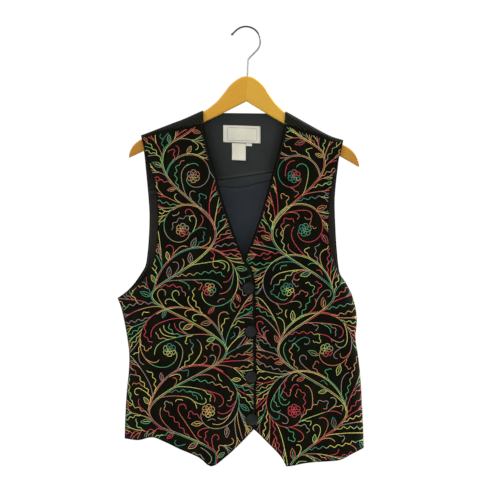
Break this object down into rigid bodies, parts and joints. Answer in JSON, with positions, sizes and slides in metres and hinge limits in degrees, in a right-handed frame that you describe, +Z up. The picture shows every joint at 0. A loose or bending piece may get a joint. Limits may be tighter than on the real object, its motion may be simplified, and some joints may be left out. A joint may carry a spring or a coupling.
{
  "type": "leather vest on a wooden hanger",
  "caption": "Sleeveless suede vest with embroidered fronts and a cloth back, buttoned up and hanging on a wooden coat hanger with a wire hook.",
  "frame": {"origin": "the point inside the top of the hanger's hook where a rail carries it", "axes": "+Z up, the front of the vest faces -Y, +X to the right as seen from the front"},
  "size_m": [0.4326, 0.0539, 0.7719],
  "materials": {
    "suede": "napped black suede",
    "back_cloth": "charcoal twill",
    "facing_cloth": "smooth charcoal cloth",
    "lining_cloth": "dark navy lining with a soft sheen",
    "label_cloth": "woven cream ribbon",
    "button_cover": "dark covered button",
    "hanger_wood": "clear lacquered honey wood",
    "hook_wire": "bright wire"
  },
  "bodies": {
    "root": {"front_left": "suede", "front_right": "suede", "back": "back_cloth", "back_facing": "facing_cloth", "back_lining": "lining_cloth", "label_main": "label_cloth", "label_care": "label_cloth", "label_size": "label_cloth", "button_1": "button_cover", "button_2": "button_cover", "button_3": "button_cover", "button_4": "button_cover", "hanger_arm_left": "hanger_wood", "hanger_arm_right": "hanger_wood", "hanger_hook": "hook_wire"}
  },
  "joints": []
}
